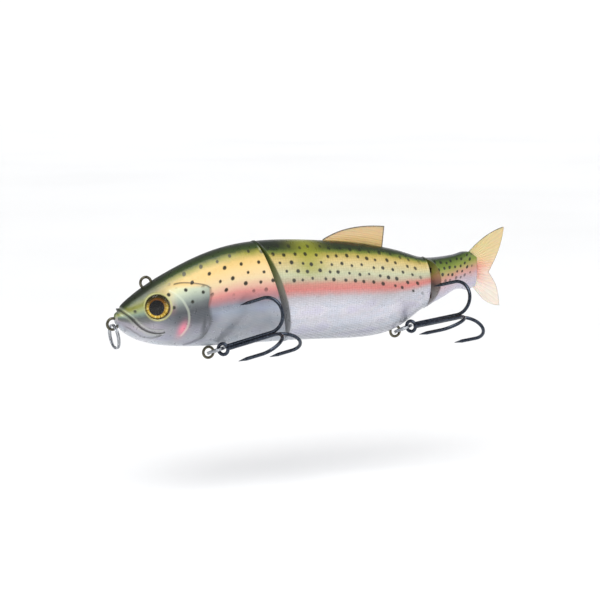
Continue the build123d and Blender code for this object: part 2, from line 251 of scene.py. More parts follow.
def close_skin(name, grid, fields, front_faces, rear_faces):
    """A closed mesh from a skin's grid and the flat or bevelled ends of its joints."""
    rows, count = grid.shape[:2]
    verts = [grid.reshape(-1, 3)]
    data = {key: [values.ravel()] for key, values in fields.items()}
    faces = []
    for i in range(rows - 1):
        faces += ring_faces(i * count, (i + 1) * count, count)
    total = rows * count
    for row, ends, first in ((0, front_faces, True), (rows - 1, rear_faces, False)):
        rim = grid[row]
        heart = rim.mean(axis=0)
        previous = row * count
        for r in np.linspace(1, 0, CAP_RINGS + 1)[1:-1]:
            ring = heart + (rim - heart) * r
            if ends:
                ring[:, 0] = joint_x(ends, ring[:, 1], ring[:, 2])
            else:
                sign = -1 if first else 1
                ring[:, 0] = rim[:, 0] + sign * 0.9 * np.sqrt(1 - r * r)
            verts.append(ring)
            for key, values in fields.items():
                data[key].append(np.ones(count) if key == "end" else values[row])
            faces += ring_faces(total, previous, count) if first else ring_faces(previous, total, count)
            previous = total
            total += count
        tip = ring.mean(axis=0)
        verts.append(tip[None])
        for key, values in fields.items():
            data[key].append(np.array([1.0 if key == "end" else values[row].mean()]))
        for j in range(count):
            k = (j + 1) % count
            faces.append((total, previous + k, previous + j) if not first else (total, previous + j, previous + k))
        total += 1
    return add_mesh(name, np.concatenate(verts), faces, {k: np.concatenate(v) for k, v in data.items()})


def jitter(row, index, side, salt):
    """A repeatable number from -1 to 1 for one spot."""
    s = np.sin(row * 127.1 + index * 311.7 + side * 74.7 + salt * 53.3) * 43758.5453
    return 2 * (s - np.floor(s)) - 1


# Rows of spots: depth below the ridge in mm, and how dark the row is.
HEAD_SPOTS = [(3.6, 0.85), (7.6, 1.0), (12.0, 1.0), (16.4, 1.0), (20.2, 0.7)]
MID_SPOTS = [(2.6, 0.75), (5.9, 0.95), (9.4, 1.0), (12.9, 1.0), (16.4, 0.95)]
TAIL_SPOTS = [(2.2, 0.95), (4.9, 1.0), (7.6, 1.0), (10.4, 0.7)]


def spots(grid, rows, pitch, size, start):
    """Dark spots in staggered rows that follow the back: pitch, size and start are in mm."""
    x, y, z = grid[..., 0], grid[..., 1], grid[..., 2]
    middle, half, _ = section(x)
    depth = middle + half - z
    side = np.sign(y)
    mask = np.zeros_like(x)
    for k, (row, strength) in enumerate(rows):
        shift = start + (k % 2) * pitch / 2
        index = np.round((x - shift) / pitch)
        px = shift + index * pitch + 0.16 * pitch * jitter(k, index, side, 1)
        pd = row + 0.5 * jitter(k, index, side, 2)
        scale = 1 + 0.22 * jitter(k, index, side, 3)
        away = np.hypot((x - px) / (size[0] * scale), (depth - pd) / (size[1] * scale))
        mask = np.maximum(mask, strength * (1 - smooth(0.82, 1.12, away)))
    return mask


def skin_grid(front, rear):
    """The plain skin between two lines of x, one value for each angle."""
    angle = np.linspace(0, 2 * np.pi, SKIN_COLUMNS, endpoint=False)
    rows = int((rear.max() - front.min()) / SKIN_STEP)
    s = np.linspace(0, 1, rows)[:, None]
    x = front + (rear - front) * s
    grid = surface(x, np.broadcast_to(angle, x.shape))
    height = np.broadcast_to(np.cos(angle), x.shape)
    return grid, height


def soften_ends(grid, normals, front, rear):
    """Rolls the skin's first and last rows inwards, so that its rims catch the light."""
    if rear:
        away = np.linalg.norm(grid - grid[-1:], axis=-1)
        grid -= normals * (EDGE_ROUND * (1 - smooth(0, 2.6 * EDGE_ROUND, away)) ** 2)[..., None]
    if front:
        away = np.linalg.norm(grid - grid[:1], axis=-1)
        grid -= normals * (EDGE_ROUND * (1 - smooth(0, 2.6 * EDGE_ROUND, away)) ** 2)[..., None]


SEAM_WIDTH = 0.35


def seam(grid):
    """The shallow parting line where the two half shells meet."""
    return 1 - smooth(0.1, SEAM_WIDTH, np.abs(grid[..., 1]))


angles = np.linspace(0, 2 * np.pi, SKIN_COLUMNS, endpoint=False)

# Eyes: the floor of each socket is where the CAD foil lies.
eye_frames = {}
for side_name in ("left", "right"):
    foil = cad_points(f"eye_foil_{side_name}")
    lens = cad_points(f"eye_lens_{side_name}")
    centre = foil.mean(axis=0)
    axis = np.linalg.svd(foil - centre)[2][2]
    axis *= np.sign(axis @ (lens.mean(axis=0) - centre))
    radius = np.linalg.norm(foil - centre, axis=1).max()
    eye_frames[side_name] = (centre, axis, radius, ((lens - centre) @ axis).max())

# Lines of the head, as (x, z) on either flank.
MOUTH = curve_points([
    (1.7, 6.6), (4.0, 4.9), (6.3, 2.9), (8.6, 0.4), (11.2, -1.9), (14.4, -3.6), (17.6, -4.2), (20.6, -4.0),
])
LIP = curve_points([(3.0, 0.2), (5.6, -1.4), (8.6, -3.6), (12.0, -5.6), (16.0, -6.3), (19.6, -5.4)])
GILL_TOP = curve_points([(25.6, 16.4), (29.0, 16.9), (34.0, 16.6), (39.0, 15.6), (41.0, 14.4)])
GILL_REAR = curve_points([
    (41.0, 14.4), (41.0, 10.5), (40.2, 6.8), (40.9, 3.0), (41.0, -0.5), (39.2, -5.7), (36.4, -8.6), (31.0, -10.6),
])
CHEEK = curve_points([(23.4, 13.6), (27.4, 10.6), (30.3, 6.0), (31.2, 1.8), (30.6, -2.5), (28.4, -6.0)])
NOSTRIL = (8.2, 5.6)
BLUSH = (28.6, -3.0)  # middle of the pink patch
CHEEK_SPOTS = [(22.6, 12.2), (24.4, 6.7), (30.1, 13.9), (32.7, 8.8), (37.8, 12.7)]

# Depths and heights of the head's relief, in mm.
MOUTH_DEPTH, LIP_SWELL, LIP_AWAY, CHIN_DEPTH, MOUTH_CORNER = 0.55, 0.38, 1.0, 0.4, (19, 22)
GILL_TOP_DEPTH, GILL_RISE, GILL_REAR_DEPTH, CHEEK_DEPTH = 0.3, 0.55, 0.45, 0.22
NOSTRIL_DEPTH, NOSTRIL_RIM = 0.5, 0.18
EYE_RIM_HEIGHT, EYE_RIM_AWAY, EYE_RIM_WIDTH = 0.45, 0.35, 0.4
SOCKET_ROOM, SOCKET_DROP = 0.12, 0.15
SEAM_DEPTH, TAIL_SEAM_DEPTH = 0.12, 0.1

# --- head skin ----------------------------------------------------------------------------------
HEAD_START = 1.75
head_grid, head_height = skin_grid(np.full_like(angles, HEAD_START), edge(head_rear, angles, 74.0))
normals = normals_of(head_grid)
flat = head_grid[..., [0, 2]]
x, z = head_grid[..., 0], head_grid[..., 2]
flank = smooth(0.15, 0.4, np.abs(np.sin(angles)))[None] + 0 * x  # 0 near the ridge and the keel
before_corner = 1 - smooth(*MOUTH_CORNER, x)

mouth_away, _ = to_line(flat, MOUTH)
lip_away, lip_place = to_line(flat, LIP)
top_away, _ = to_line(flat, GILL_TOP)
rear_away, _ = to_line(flat, GILL_REAR)
cheek_away, _ = to_line(flat, CHEEK)
nostril_away = np.linalg.norm(flat - np.array(NOSTRIL), axis=-1)
gill_edge_x = np.interp(z, GILL_REAR[::-1, 1], GILL_REAR[::-1, 0])
inside_gill = smooth(0.15, 0.5, gill_edge_x - x) * smooth(-11, -9.5, z) * (1 - smooth(14.2, 16.2, z))

relief = -MOUTH_DEPTH * (1 - smooth(0.1, 0.55, mouth_away))
relief += LIP_SWELL * np.exp(-(((mouth_away - LIP_AWAY) / 0.55) ** 2)) * before_corner
relief -= CHIN_DEPTH * (1 - smooth(0.1, 0.5, lip_away)) * smooth(0, 0.15, lip_place)
relief -= GILL_TOP_DEPTH * (1 - smooth(0.05, 0.4, top_away)) * flank
relief += GILL_RISE * inside_gill * smooth(33, 40, x) * flank
relief -= GILL_REAR_DEPTH * (1 - smooth(0.1, 0.8, rear_away)) * (x > gill_edge_x) * flank
relief -= CHEEK_DEPTH * (1 - smooth(0.1, 0.6, cheek_away)) * flank
relief -= NOSTRIL_DEPTH * (1 - smooth(0.3, 0.8, nostril_away)) * flank
relief += NOSTRIL_RIM * np.exp(-(((nostril_away - 1.1) / 0.35) ** 2)) * flank
relief -= SEAM_DEPTH * seam(head_grid)
head_grid = head_grid + normals * relief[..., None]
for centre, axis, radius, _ in eye_frames.values():
    offset = head_grid - centre
    depth = offset @ axis
    away = np.linalg.norm(offset - depth[..., None] * axis, axis=-1)
    near = (depth > -6) & (away < radius + 2.5)
    bulge = EYE_RIM_HEIGHT * np.exp(-(((away - radius - EYE_RIM_AWAY) / EYE_RIM_WIDTH) ** 2))
    head_grid = np.where(near[..., None], head_grid + axis * bulge[..., None], head_grid)
    sink = np.where(near & (away < radius + SOCKET_ROOM), depth + SOCKET_DROP, 0.0)
    head_grid = head_grid - axis * np.maximum(sink, 0)[..., None]
soften_ends(head_grid, normals, False, True)

eye_centre = eye_frames["left"][0]
eye_away = np.hypot(x - eye_centre[0], z - eye_centre[2])
eye_radius = eye_frames["left"][2]
# A dark band runs from the eye to the gill plate.
band = 0.6 * np.exp(-(((z - (1.2 - 0.02 * (x - 20))) / 3.6) ** 2)) * smooth(16, 22, x) * (1 - smooth(40, 47, x))
leaf = 0.9 * np.exp(-(((x - 38.6) / 1.5) ** 2 + ((z + 1.0) / 6.5) ** 2))  # shadow along the gill plate
line = np.maximum.reduce([
    0.9 * (1 - smooth(0.15, 0.7, mouth_away)),
    0.4 * (1 - smooth(0.1, 0.5, lip_away)) * smooth(0, 0.15, lip_place),
    0.85 * (1 - smooth(0.05, 0.42, top_away)) * flank,
    # Painted shadow along the gill plate's rear edge.
    0.35 * (1 - smooth(0.1, 0.8, rear_away)) * flank,
    0.9 * (1 - smooth(0.3, 0.85, nostril_away)) * flank,
])
pale = np.maximum.reduce([
    0.35 * np.exp(-(((mouth_away - LIP_AWAY) / 0.5) ** 2)) * before_corner,
    0.5 * (1 - smooth(0.25, 0.7, cheek_away)) * flank,
])
cheek_spots = np.max([1 - smooth(0.6, 0.95, np.hypot(x - a, z - b)) for a, b in CHEEK_SPOTS], axis=0) * flank
head_fields = {
    "height": head_height,
    "spot": spots(head_grid, HEAD_SPOTS, 7.4, (0.84, 0.82), 23.0)
    * smooth(21, 27, x) * smooth(9.5, 13.0, z) * (1 - inside_gill),
    "line": np.maximum(line, cheek_spots),
    "pale": pale,
    "grey": np.maximum(band, leaf) * flank,
    "blush": np.exp(-(((x - BLUSH[0] - 0.25 * (z - BLUSH[1])) / 1.9) ** 2 + ((z - BLUSH[1]) / 3.0) ** 2)),
    "gill": inside_gill * smooth(20, 27, x) * flank,
    "rim": np.exp(-(((eye_away - eye_radius - EYE_RIM_AWAY) / EYE_RIM_WIDTH) ** 2)),
    "end": 0 * x,
}
head_skin = close_skin("head_skin", head_grid, head_fields, None, head_rear)

# --- middle and tail skins ----------------------------------------------------------------------
mid_grid, mid_height = skin_grid(edge(mid_front, angles, 74.0), edge(mid_rear, angles, 151.0))
normals = normals_of(mid_grid)
mid_grid = mid_grid - normals * (SEAM_DEPTH * seam(mid_grid))[..., None]
soften_ends(mid_grid, normals, True, True)
x = mid_grid[..., 0]
front_away = np.linalg.norm(mid_grid - mid_grid[:1], axis=-1)
mid_fields = {
    "height": mid_height,
    "spot": spots(mid_grid, MID_SPOTS, 5.1, (0.82, 0.78), 70.0)
    * (1 - smooth(143, 150, x)) * smooth(0.5, 2.5, front_away),
    "patch": np.exp(-(((x - 89) / 7.5) ** 2)) * smooth(0.2, 0.5, mid_height),
    "end": 0 * x,
}
mid_skin = close_skin("mid_skin", mid_grid, mid_fields, mid_front, mid_rear)

TAIL_END = 178.2
CREST_HEIGHT, CREST_SLOPE, CREST_END = 22.2, 0.85, 175.2
tail_grid, tail_height = skin_grid(edge(tail_front, angles, 157.0), np.full_like(angles, TAIL_END))
normals = normals_of(tail_grid)
tail_grid = tail_grid - normals * (TAIL_SEAM_DEPTH * seam(tail_grid))[..., None]
# The skin's top makes way for the fin's leading edge.
crest = CREST_HEIGHT - CREST_SLOPE * np.maximum(tail_grid[..., 0] - CREST_END, 0)
tail_grid[..., 2] -= np.maximum(tail_grid[..., 2] - crest, 0) * smooth(168, 174, tail_grid[..., 0])
soften_ends(tail_grid, normals, True, True)
x = tail_grid[..., 0]
tail_fields = {
    "height": tail_height,
    "spot": spots(tail_grid, TAIL_SPOTS, 3.0, (0.68, 0.72), 152.0) * (1 - smooth(174, 178, x)),
    "end": 0 * x,
}
tail_skin = close_skin("tail_skin", tail_grid, tail_fields, tail_front, None)


SLOT_LEAD, SLOT_ROOM, SLOT_HEIGHT = 20, 0.35, 2.7
FRONT_SLOT_WIDTH, REAR_SLOT_WIDTH = 8.4, 7.0


def cut_slots(skin, eyes, width, height, room):
    """Cuts the level slots that the hinge eyes swing in, as the CAD shells have them."""
    boxes = []
    for name in eyes:
        (x1, _, z1), (x2, _, z2) = [np.array(c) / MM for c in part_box(name)]
        middle, back = (z1 + z2) / 2, x2 + room
        ends = ((x1 - SLOT_LEAD, back), (-width / 2, width / 2), (middle - height / 2, middle + height / 2))
        corners = [(i, j, k) for i in ends[0] for j in ends[1] for k in ends[2]]
        quads = [(0, 1, 3, 2), (4, 6, 7, 5), (0, 4, 5, 1), (2, 3, 7, 6), (0, 2, 6, 4), (1, 5, 7, 3)]
        box = add_mesh(f"slot_{name}", corners, quads, smooth_faces=False)
        cut = skin.modifiers.new(name, "BOOLEAN")
        cut.operation, cut.object, cut.solver = "DIFFERENCE", box, "EXACT"
        boxes.append(box)
    graph = bpy.context.evaluated_depsgraph_get()
    carved = bpy.data.meshes.new_from_object(skin.evaluated_get(graph))
    skin.modifiers.clear()
    skin.data = carved
    for box in boxes:
        bpy.data.objects.remove(box)


FRONT_HINGE = ("front_hinge_eye_lower", "front_hinge_eye_upper")
REAR_HINGE = ("rear_hinge_eye_lower", "rear_hinge_eye_upper")
cut_slots(mid_skin, FRONT_HINGE, FRONT_SLOT_WIDTH, SLOT_HEIGHT, SLOT_ROOM)
cut_slots(tail_skin, REAR_HINGE, REAR_SLOT_WIDTH, SLOT_HEIGHT, SLOT_ROOM)


# --- node material helpers ----------------------------------------------------------------------
MIX_A, MIX_B, MIX_RESULT = 6, 7, 2  # the colour sockets of a Mix node


class Nodes:
    """A material's node tree, with short calls for the nodes that the finishes use."""

    def __init__(self, name):
        self.material = bpy.data.materials.new(name)
        self.material.use_nodes = True
        self.tree = self.material.node_tree
        self.shader = self.tree.nodes["Principled BSDF"]

    def new(self, kind, **settings):
        node = self.tree.nodes.new(kind)
        for key, value in settings.items():
            setattr(node, key, value)
        return node

    def link(self, source, target):
        self.tree.links.new(source, target)

    def value(self, socket, value):
        """Links a socket, or sets a plain number or colour on it."""
        if isinstance(value, bpy.types.NodeSocket):
            self.link(value, socket)
        else:
            socket.default_value = value

    def set(self, **values):
        """Sets the shader's sockets by name, with underscores for spaces."""
        for key, value in values.items():
            self.value(self.shader.inputs[key.replace("_", " ")], value)

    def field(self, name):
        """A point field of the mesh."""
        return self.new("ShaderNodeAttribute", attribute_name=name).outputs["Fac"]

    def coords(self):
        """Object coordinates, in metres."""
        return self.new("ShaderNodeTexCoord").outputs["Object"]

    def mapped(self, scale, rotation=(0, 0, 0)):
        node = self.new("ShaderNodeMapping")
        self.link(self.coords(), node.inputs["Vector"])
        node.inputs["Scale"].default_value = scale
        node.inputs["Rotation"].default_value = rotation
        return node.outputs["Vector"]

    def axis(self, which):
        node = self.new("ShaderNodeSeparateXYZ")
        self.link(self.coords(), node.inputs[0])
        return node.outputs[which]

    def math(self, operation, a, b=0.0, clamp=False):
        node = self.new("ShaderNodeMath", operation=operation, use_clamp=clamp)
        self.value(node.inputs[0], a)
        self.value(node.inputs[1], b)
        return node.outputs[0]

    def range(self, value, low, high, to_low=0.0, to_high=1.0, kind="SMOOTHSTEP"):
        node = self.new("ShaderNodeMapRange", interpolation_type=kind)
        self.value(node.inputs["Value"], value)
        ends = (("From Min", low), ("From Max", high), ("To Min", to_low), ("To Max", to_high))
        for key, number in ends:
            node.inputs[key].default_value = number
        return node.outputs["Result"]

    def noise(self, scale, detail=3.0, vector=None, roughness=0.5):
        node = self.new("ShaderNodeTexNoise")
        self.link(vector or self.coords(), node.inputs["Vector"])
        node.inputs["Scale"].default_value = scale
        node.inputs["Detail"].default_value = detail
        node.inputs["Roughness"].default_value = roughness
        return node.outputs["Fac"]

    def cells(self, scale, randomness, vector):
        node = self.new("ShaderNodeTexVoronoi")
        self.link(vector, node.inputs["Vector"])
        node.inputs["Scale"].default_value = scale
        node.inputs["Randomness"].default_value = randomness
        return node.outputs["Distance"]

    def ramp(self, value, stops):
        """A colour ramp with stops of (place, sRGB hex)."""
        node = self.new("ShaderNodeValToRGB")
        self.link(value, node.inputs["Fac"])
        elements = node.color_ramp.elements
        while len(elements) < len(stops):
            elements.new(0.5)
        for element, (place, colour) in zip(elements, sorted(stops)):
            element.position = place
            element.color = shade(colour)
        return node.outputs["Color"]

    def mix(self, factor, a, b, blend="MIX"):
        node = self.new("ShaderNodeMix", data_type="RGBA", blend_type=blend)
        self.value(node.inputs["Factor"], factor)
        self.value(node.inputs[MIX_A], a)
        self.value(node.inputs[MIX_B], b)
        return node.outputs[MIX_RESULT]

    def bump(self, height, strength, distance, normal=None):
        node = self.new("ShaderNodeBump")
        node.inputs["Strength"].default_value = strength
        node.inputs["Distance"].default_value = distance
        self.link(height, node.inputs["Height"])
        if normal is not None:
            self.link(normal, node.inputs["Normal"])
        return node.outputs["Normal"]


def shade(colour):
    """Linear RGBA from an sRGB hex colour."""
    parts = [int(colour[i : i + 2], 16) / 255 for i in (0, 2, 4)]
    return (*[c / 12.92 if c <= 0.04045 else ((c + 0.055) / 1.055) ** 2.4 for c in parts], 1.0)


# --- painted skins ------------------------------------------------------------------------------
# Bands from belly to back: place is the section's height from 0 at the keel to 1 on the ridge.
MID_BANDS = [
    (0.0, "c0c3c8"), (0.09, "aeb1b8"), (0.17, "c6c8d0"), (0.26, "dcdae2"), (0.35, "dedce4"), (0.42, "cfced6"),
    (0.48, "c0babf"), (0.52, "c99a98"), (0.56, "d4807a"), (0.61, "cc8a7c"), (0.655, "bcae94"),
    (0.71, "bfc2a0"), (0.78, "ccc090"), (0.85, "d0b97a"), (0.9, "b5a452"), (0.93, "68762a"),
    (0.955, "24360a"), (1.0, "0c1803"),
]
HEAD_REAR_BANDS = [
    (0.0, "c2c6cc"), (0.10, "a4a8ae"), (0.2, "9da0a6"), (0.3, "a6a9b0"), (0.38, "a4adba"), (0.44, "8b8e9a"),
    (0.5, "b07c80"), (0.56, "d48a84"), (0.61, "dcae98"), (0.68, "e2cba0"), (0.78, "ecca8e"), (0.86, "dcbc74"),
    (0.915, "94903a"), (0.95, "2e420a"), (1.0, "0e1a03"),
]
HEAD_FRONT_BANDS = [
    (0.0, "d2d4d8"), (0.12, "b6b8bf"), (0.24, "b3adb6"), (0.34, "a39ca2"), (0.42, "70716e"), (0.5, "585e5c"),
    (0.58, "7a8c7e"), (0.66, "9aa678"), (0.74, "86883f"), (0.82, "6f7430"), (0.88, "34440e"),
    (0.94, "142004"), (1.0, "0c1402"),
]
CHEEK_BANDS = [
    (0.0, "b4b6bc"), (0.14, "a2a4ab"), (0.28, "96979f"), (0.38, "666a70"), (0.46, "4c4f54"), (0.54, "6a7070"),
    (0.62, "9aa59a"), (0.70, "c3ccb4"), (0.78, "dcdcb2"), (0.86, "d9c884"),
]
# The grey at the very top of the tail's bands is a painted reflection: the sheen along the tail's ridge.
TAIL_BANDS = [
    (0.0, "c9c9d1"), (0.14, "c9c3d0"), (0.28, "cfbcc4"), (0.37, "cfaeb0"), (0.46, "d09a92"), (0.55, "c4937a"),
    (0.64, "a89a5c"), (0.74, "7d8a30"), (0.84, "62742a"), (0.92, "3c5214"), (0.96, "24340e"), (1.0, "6c6e74"),
]
# Joint faces: the bands' paint, made darker and duller, partly as painted shade inside the joints' gaps.
MID_FACE = [
    (0.0, "c2c4c8"), (0.3, "b2b4b8"), (0.5, "aca79e"), (0.66, "a0a284"), (0.84, "7c864e"), (1.0, "34461a"),
]
TAIL_FACE = [
    (0.0, "a8a5a6"), (0.2, "8b8683"), (0.38, "6a5753"), (0.52, "8a5f52"), (0.66, "9c7450"), (0.8, "7d7836"),
    (1.0, "3a4418"),
]
SPOT_COLOUR = "0c1004"


def painted(name, bands, face, extras, scaled):
    """Clear-coated trout paint: bands over the height, spots, pearl scales, what extras adds, and joint faces."""
    n = Nodes(name)
    wander = n.math("MULTIPLY", n.math("SUBTRACT", n.noise(260, 4), 0.5), 0.035)
    fine = n.math("MULTIPLY", n.math("SUBTRACT", n.noise(1500, 2), 0.5), 0.02)
    height = n.math("MULTIPLY_ADD", n.field("height"), 0.5)
    height.node.inputs[2].default_value = 0.5
    height = n.math("ADD", n.math("ADD", height, wander), fine, clamp=True)
    colour = bands(n, height)
    belly = n.range(height, 0.52, 0.36)

    # Scales: a small lattice of cells drawn out along the body, with slanting hatching on the belly.
    lattice = n.mapped((1.0, 0.55, 1.25))
    scales = n.cells(820, 0.3, lattice)
    hatch = n.new("ShaderNodeTexWave", wave_type="BANDS", bands_direction="DIAGONAL")
    n.link(n.mapped((1.0, 0.15, 1.35), (0, 0.35, 0)), hatch.inputs["Vector"])
    hatch.inputs["Scale"].default_value = 330
    hatch.inputs["Distortion"].default_value = 1.2
    hatch.inputs["Detail"].default_value = 1.0
    hatch.inputs["Detail Scale"].default_value = 1.5
    hatched = n.math("MULTIPLY", n.math("MULTIPLY", hatch.outputs["Fac"], belly), 0.4 * scaled)
    colour = n.mix(hatched, colour, shade("f2f0f6"))
    between = n.math("MULTIPLY", n.range(scales, 0.15, 0.85), 0.3 * scaled)
    colour = n.mix(between, colour, shade("6f6a55"), "MULTIPLY")
    tint = n.ramp(n.noise(85, 2, n.mapped((1, 1, 2.2))), PEARL_TINTS)
    colour = n.mix(n.math("MULTIPLY", belly, 0.35), colour, tint, "MULTIPLY")

    for field, over, strength in extras:
        colour = n.mix(n.math("MULTIPLY", n.field(field), strength, clamp=True), colour, shade(over))
    edge_noise = n.range(n.noise(2200, 2), 0.3, 0.7, 0.93, 1.0)
    colour = n.mix(n.math("MULTIPLY", n.field("spot"), edge_noise, clamp=True), colour, shade(SPOT_COLOUR))
    # Joint faces take their own ramp, which is partly painted shade.
    colour = n.mix(n.field("end"), colour, n.ramp(height, face))

    n.set(Base_Color=colour, Coat_Weight=0.3, Coat_Roughness=0.08, Specular_IOR_Level=0.35)
    n.set(Metallic=n.math("MULTIPLY", n.range(height, 0.62, 0.3), 0.45))
    n.set(Roughness=n.range(n.noise(420, 3), 0.3, 0.7, 0.26, 0.4))
    n.set(Normal=n.bump(scales, 0.1 + 0.2 * scaled, 0.0001, n.bump(n.noise(900, 2), 0.05, 0.0002)))
    return n.material


def head_bands(n, height):
    """The nose and brow are darker and greener than the shoulders."""
    back = n.range(n.axis(0), 0.012, 0.030)
    colour = n.mix(back, n.ramp(height, HEAD_FRONT_BANDS), n.ramp(height, HEAD_REAR_BANDS))
    return n.mix(n.field("gill"), colour, n.ramp(height, CHEEK_BANDS))


# What lies over the bands: point field, colour and strength.
# grey holds the dark band behind the eye and the painted shadow along the gill plate; line holds the dark marks and
# spots and the painted shadow along the gill plate's rear edge.
HEAD_EXTRAS = [
    ("grey", "4c5054", 0.95), ("blush", "f2849a", 0.85), ("pale", "dfe6cf", 0.75),
    ("line", "2c2e26", 1.0), ("rim", "c2c184", 0.9),
]
MID_EXTRAS = [("patch", "8f9226", 0.7)]
PEARL_TINTS = [(0.35, "c9c4e6"), (0.5, "e6e6ea"), (0.62, "bcd0e2"), (0.75, "e8dce6")]


def mid_bands(n, height):
    """The stripe runs a little lower at the front."""
    return n.ramp(n.math("ADD", height, n.range(n.axis(0), 0.07, 0.14, 0.035, 0.0)), MID_BANDS)


def tail_bands(n, height):
    return n.ramp(height, TAIL_BANDS)


for part, skin, bands, face, extras, scaled in (
    ("head", head_skin, head_bands, MID_FACE, HEAD_EXTRAS, 0.12),
    ("mid", mid_skin, mid_bands, MID_FACE, MID_EXTRAS, 0.8),
    ("tail", tail_skin, tail_bands, TAIL_FACE, [], 0.4),
):
    skin.data.materials.clear()
    skin.data.materials.append(painted(f"{part}_paint", bands, face, extras, scaled))
    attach(skin, part)
    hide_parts(*SHELLS[part])


# --- metal finishes -----------------------------------------------------------------------------
def metal(name, colour, dark, roughness, grain):
    """Plated wire: colour varies a little, and fine drawing marks break up the gloss."""
    n = Nodes(name)
    marks = n.noise(grain, 3)
    n.set(Base_Color=n.ramp(marks, [(0.3, dark), (0.7, colour)]), Metallic=1.0)
    n.set(Roughness=n.range(marks, 0.3, 0.7, roughness * 0.7, roughness * 1.3))
    n.set(Normal=n.bump(marks, 0.12, 0.0001))
    return n.material


nickel = metal("bright_nickel", "b4b7bc", "7d8187", 0.2, 1800)
black_nickel = metal("black_nickel", "4d5460", "262a32", 0.22, 1400)
eye_wire = metal("dark_nickel_wire", "6e6a5a", "46443a", 0.24, 1600)
hinge_steel = metal("hinge_steel", "b9bcbe", "8d9092", 0.28, 1600)
cast_slug = metal("cast_slug", "5c5d60", "3a3b3e", 0.5, 500)


def finish_node(name, material):
    """Gives a CAD node that stays in view its material and smooth shading."""
    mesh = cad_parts[name].data
    mesh.materials.clear()
    mesh.materials.append(material)
    mesh.polygons.foreach_set("use_smooth", [True] * len(mesh.polygons))


FINISHES = {
    ("nose_line_eye", "crown_line_eye", "front_hook_hanger", "rear_hook_hanger"): eye_wire,
    (*FRONT_HINGE, *REAR_HINGE, "front_hinge_pin", "rear_hinge_pin"): hinge_steel,
    ("head_ballast", "mid_ballast"): cast_slug,
    ("front_treble_hook", "rear_treble_hook"): black_nickel,
}
for names, finish in FINISHES.items():
    for name in names:
        finish_node(name, finish)


def wire_curve(name, points, radius, material):
    """A round wire along points in mm."""
    curve = bpy.data.curves.new(name, "CURVE")
    curve.dimensions = "3D"
    curve.bevel_depth = radius * MM
    curve.bevel_resolution = 4
    curve.use_fill_caps = True
    spline = curve.splines.new("POLY")
    spline.points.add(len(points) - 1)
    for i, p in enumerate(points):
        spline.points[i].co = (*(np.asarray(p) * MM), 1.0)
    spline.use_smooth = True
    curve.materials.append(material)
    obj = bpy.data.objects.new(name, curve)
    bpy.context.scene.collection.objects.link(obj)
    return obj


RING_WIRE = 0.34
RING_TURNS = 2.06
RING_STEPS = 190


def coil(node, body):
    """A split ring: two turns of wire that lie side by side round the CAD ring's axis."""
    points = cad_points(node)
    centre = points.mean(axis=0)
    u, v, axis = np.linalg.svd(points - centre)[2]
    away = np.linalg.norm((points - centre) - np.outer((points - centre) @ axis, axis), axis=1)
    radius = (away.max() + away.min()) / 2
    along = (points - centre) @ axis
    rise = (along.max() - along.min()) / 2 - RING_WIRE
    turn = np.linspace(0, RING_TURNS * 2 * np.pi, RING_STEPS)
    fraction = turn / turn[-1]
    lift = rise * (2 * smooth(0.38, 0.62, fraction) - 1)
    ring = centre + radius * (np.outer(np.cos(turn), u) + np.outer(np.sin(turn), v)) + np.outer(lift, axis)
    obj = wire_curve(f"{node}_coil", ring, RING_WIRE, nickel)
    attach(obj, body)
    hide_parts(node)


coil("nose_split_ring", "nose_ring")
coil("front_split_ring", "front_ring")
coil("rear_split_ring", "rear_ring")


# --- eyes ---------------------------------------------------------------------------------------
def disc_mesh(name, centre, axis, radius, profile, rings, count):
    """A round cap: profile gives its height over centre for a radius from 0 to 1, with a flat back."""
    forward = np.array([-1.0, 0, 0])
    u = forward - axis * (forward @ axis)
    u /= np.linalg.norm(u)
    v = np.array([0, 0, 1.0]) - axis * axis[2]
    v -= u * (v @ u)
    v /= np.linalg.norm(v)
    turn = np.linspace(0, 2 * np.pi, count, endpoint=False) * np.sign(np.cross(u, v) @ axis)
    verts = [centre + axis * profile(0.0)]
    data = {"radius": [0.0], "turn_x": [0.0], "turn_z": [0.0]}
    for i in range(1, rings + 1):
        r = i / rings
        for a in turn:
            verts.append(centre + radius * r * (np.cos(a) * u + np.sin(a) * v) + axis * profile(r))
            data["radius"].append(r)
            data["turn_x"].append(r * np.cos(a))
            data["turn_z"].append(r * np.sin(a))
    faces = [(0, 1 + j, 1 + (j + 1) % count) for j in range(count)]
    for i in range(rings - 1):
        faces += ring_faces(1 + i * count, 1 + (i + 1) * count, count)
    rim = 1 + (rings - 1) * count
    back = len(verts)
    verts += [centre + radius * (np.cos(a) * u + np.sin(a) * v) for a in turn]
    for key in data:
        data[key] += [1.0] * count
    faces += ring_faces(rim, back, count)
    verts.append(centre)
    for key in data:
        data[key].append(1.0)
    faces += [(back + (j + 1) % count, back + j, len(verts) - 1) for j in range(count)]
    return add_mesh(name, verts, faces, data)


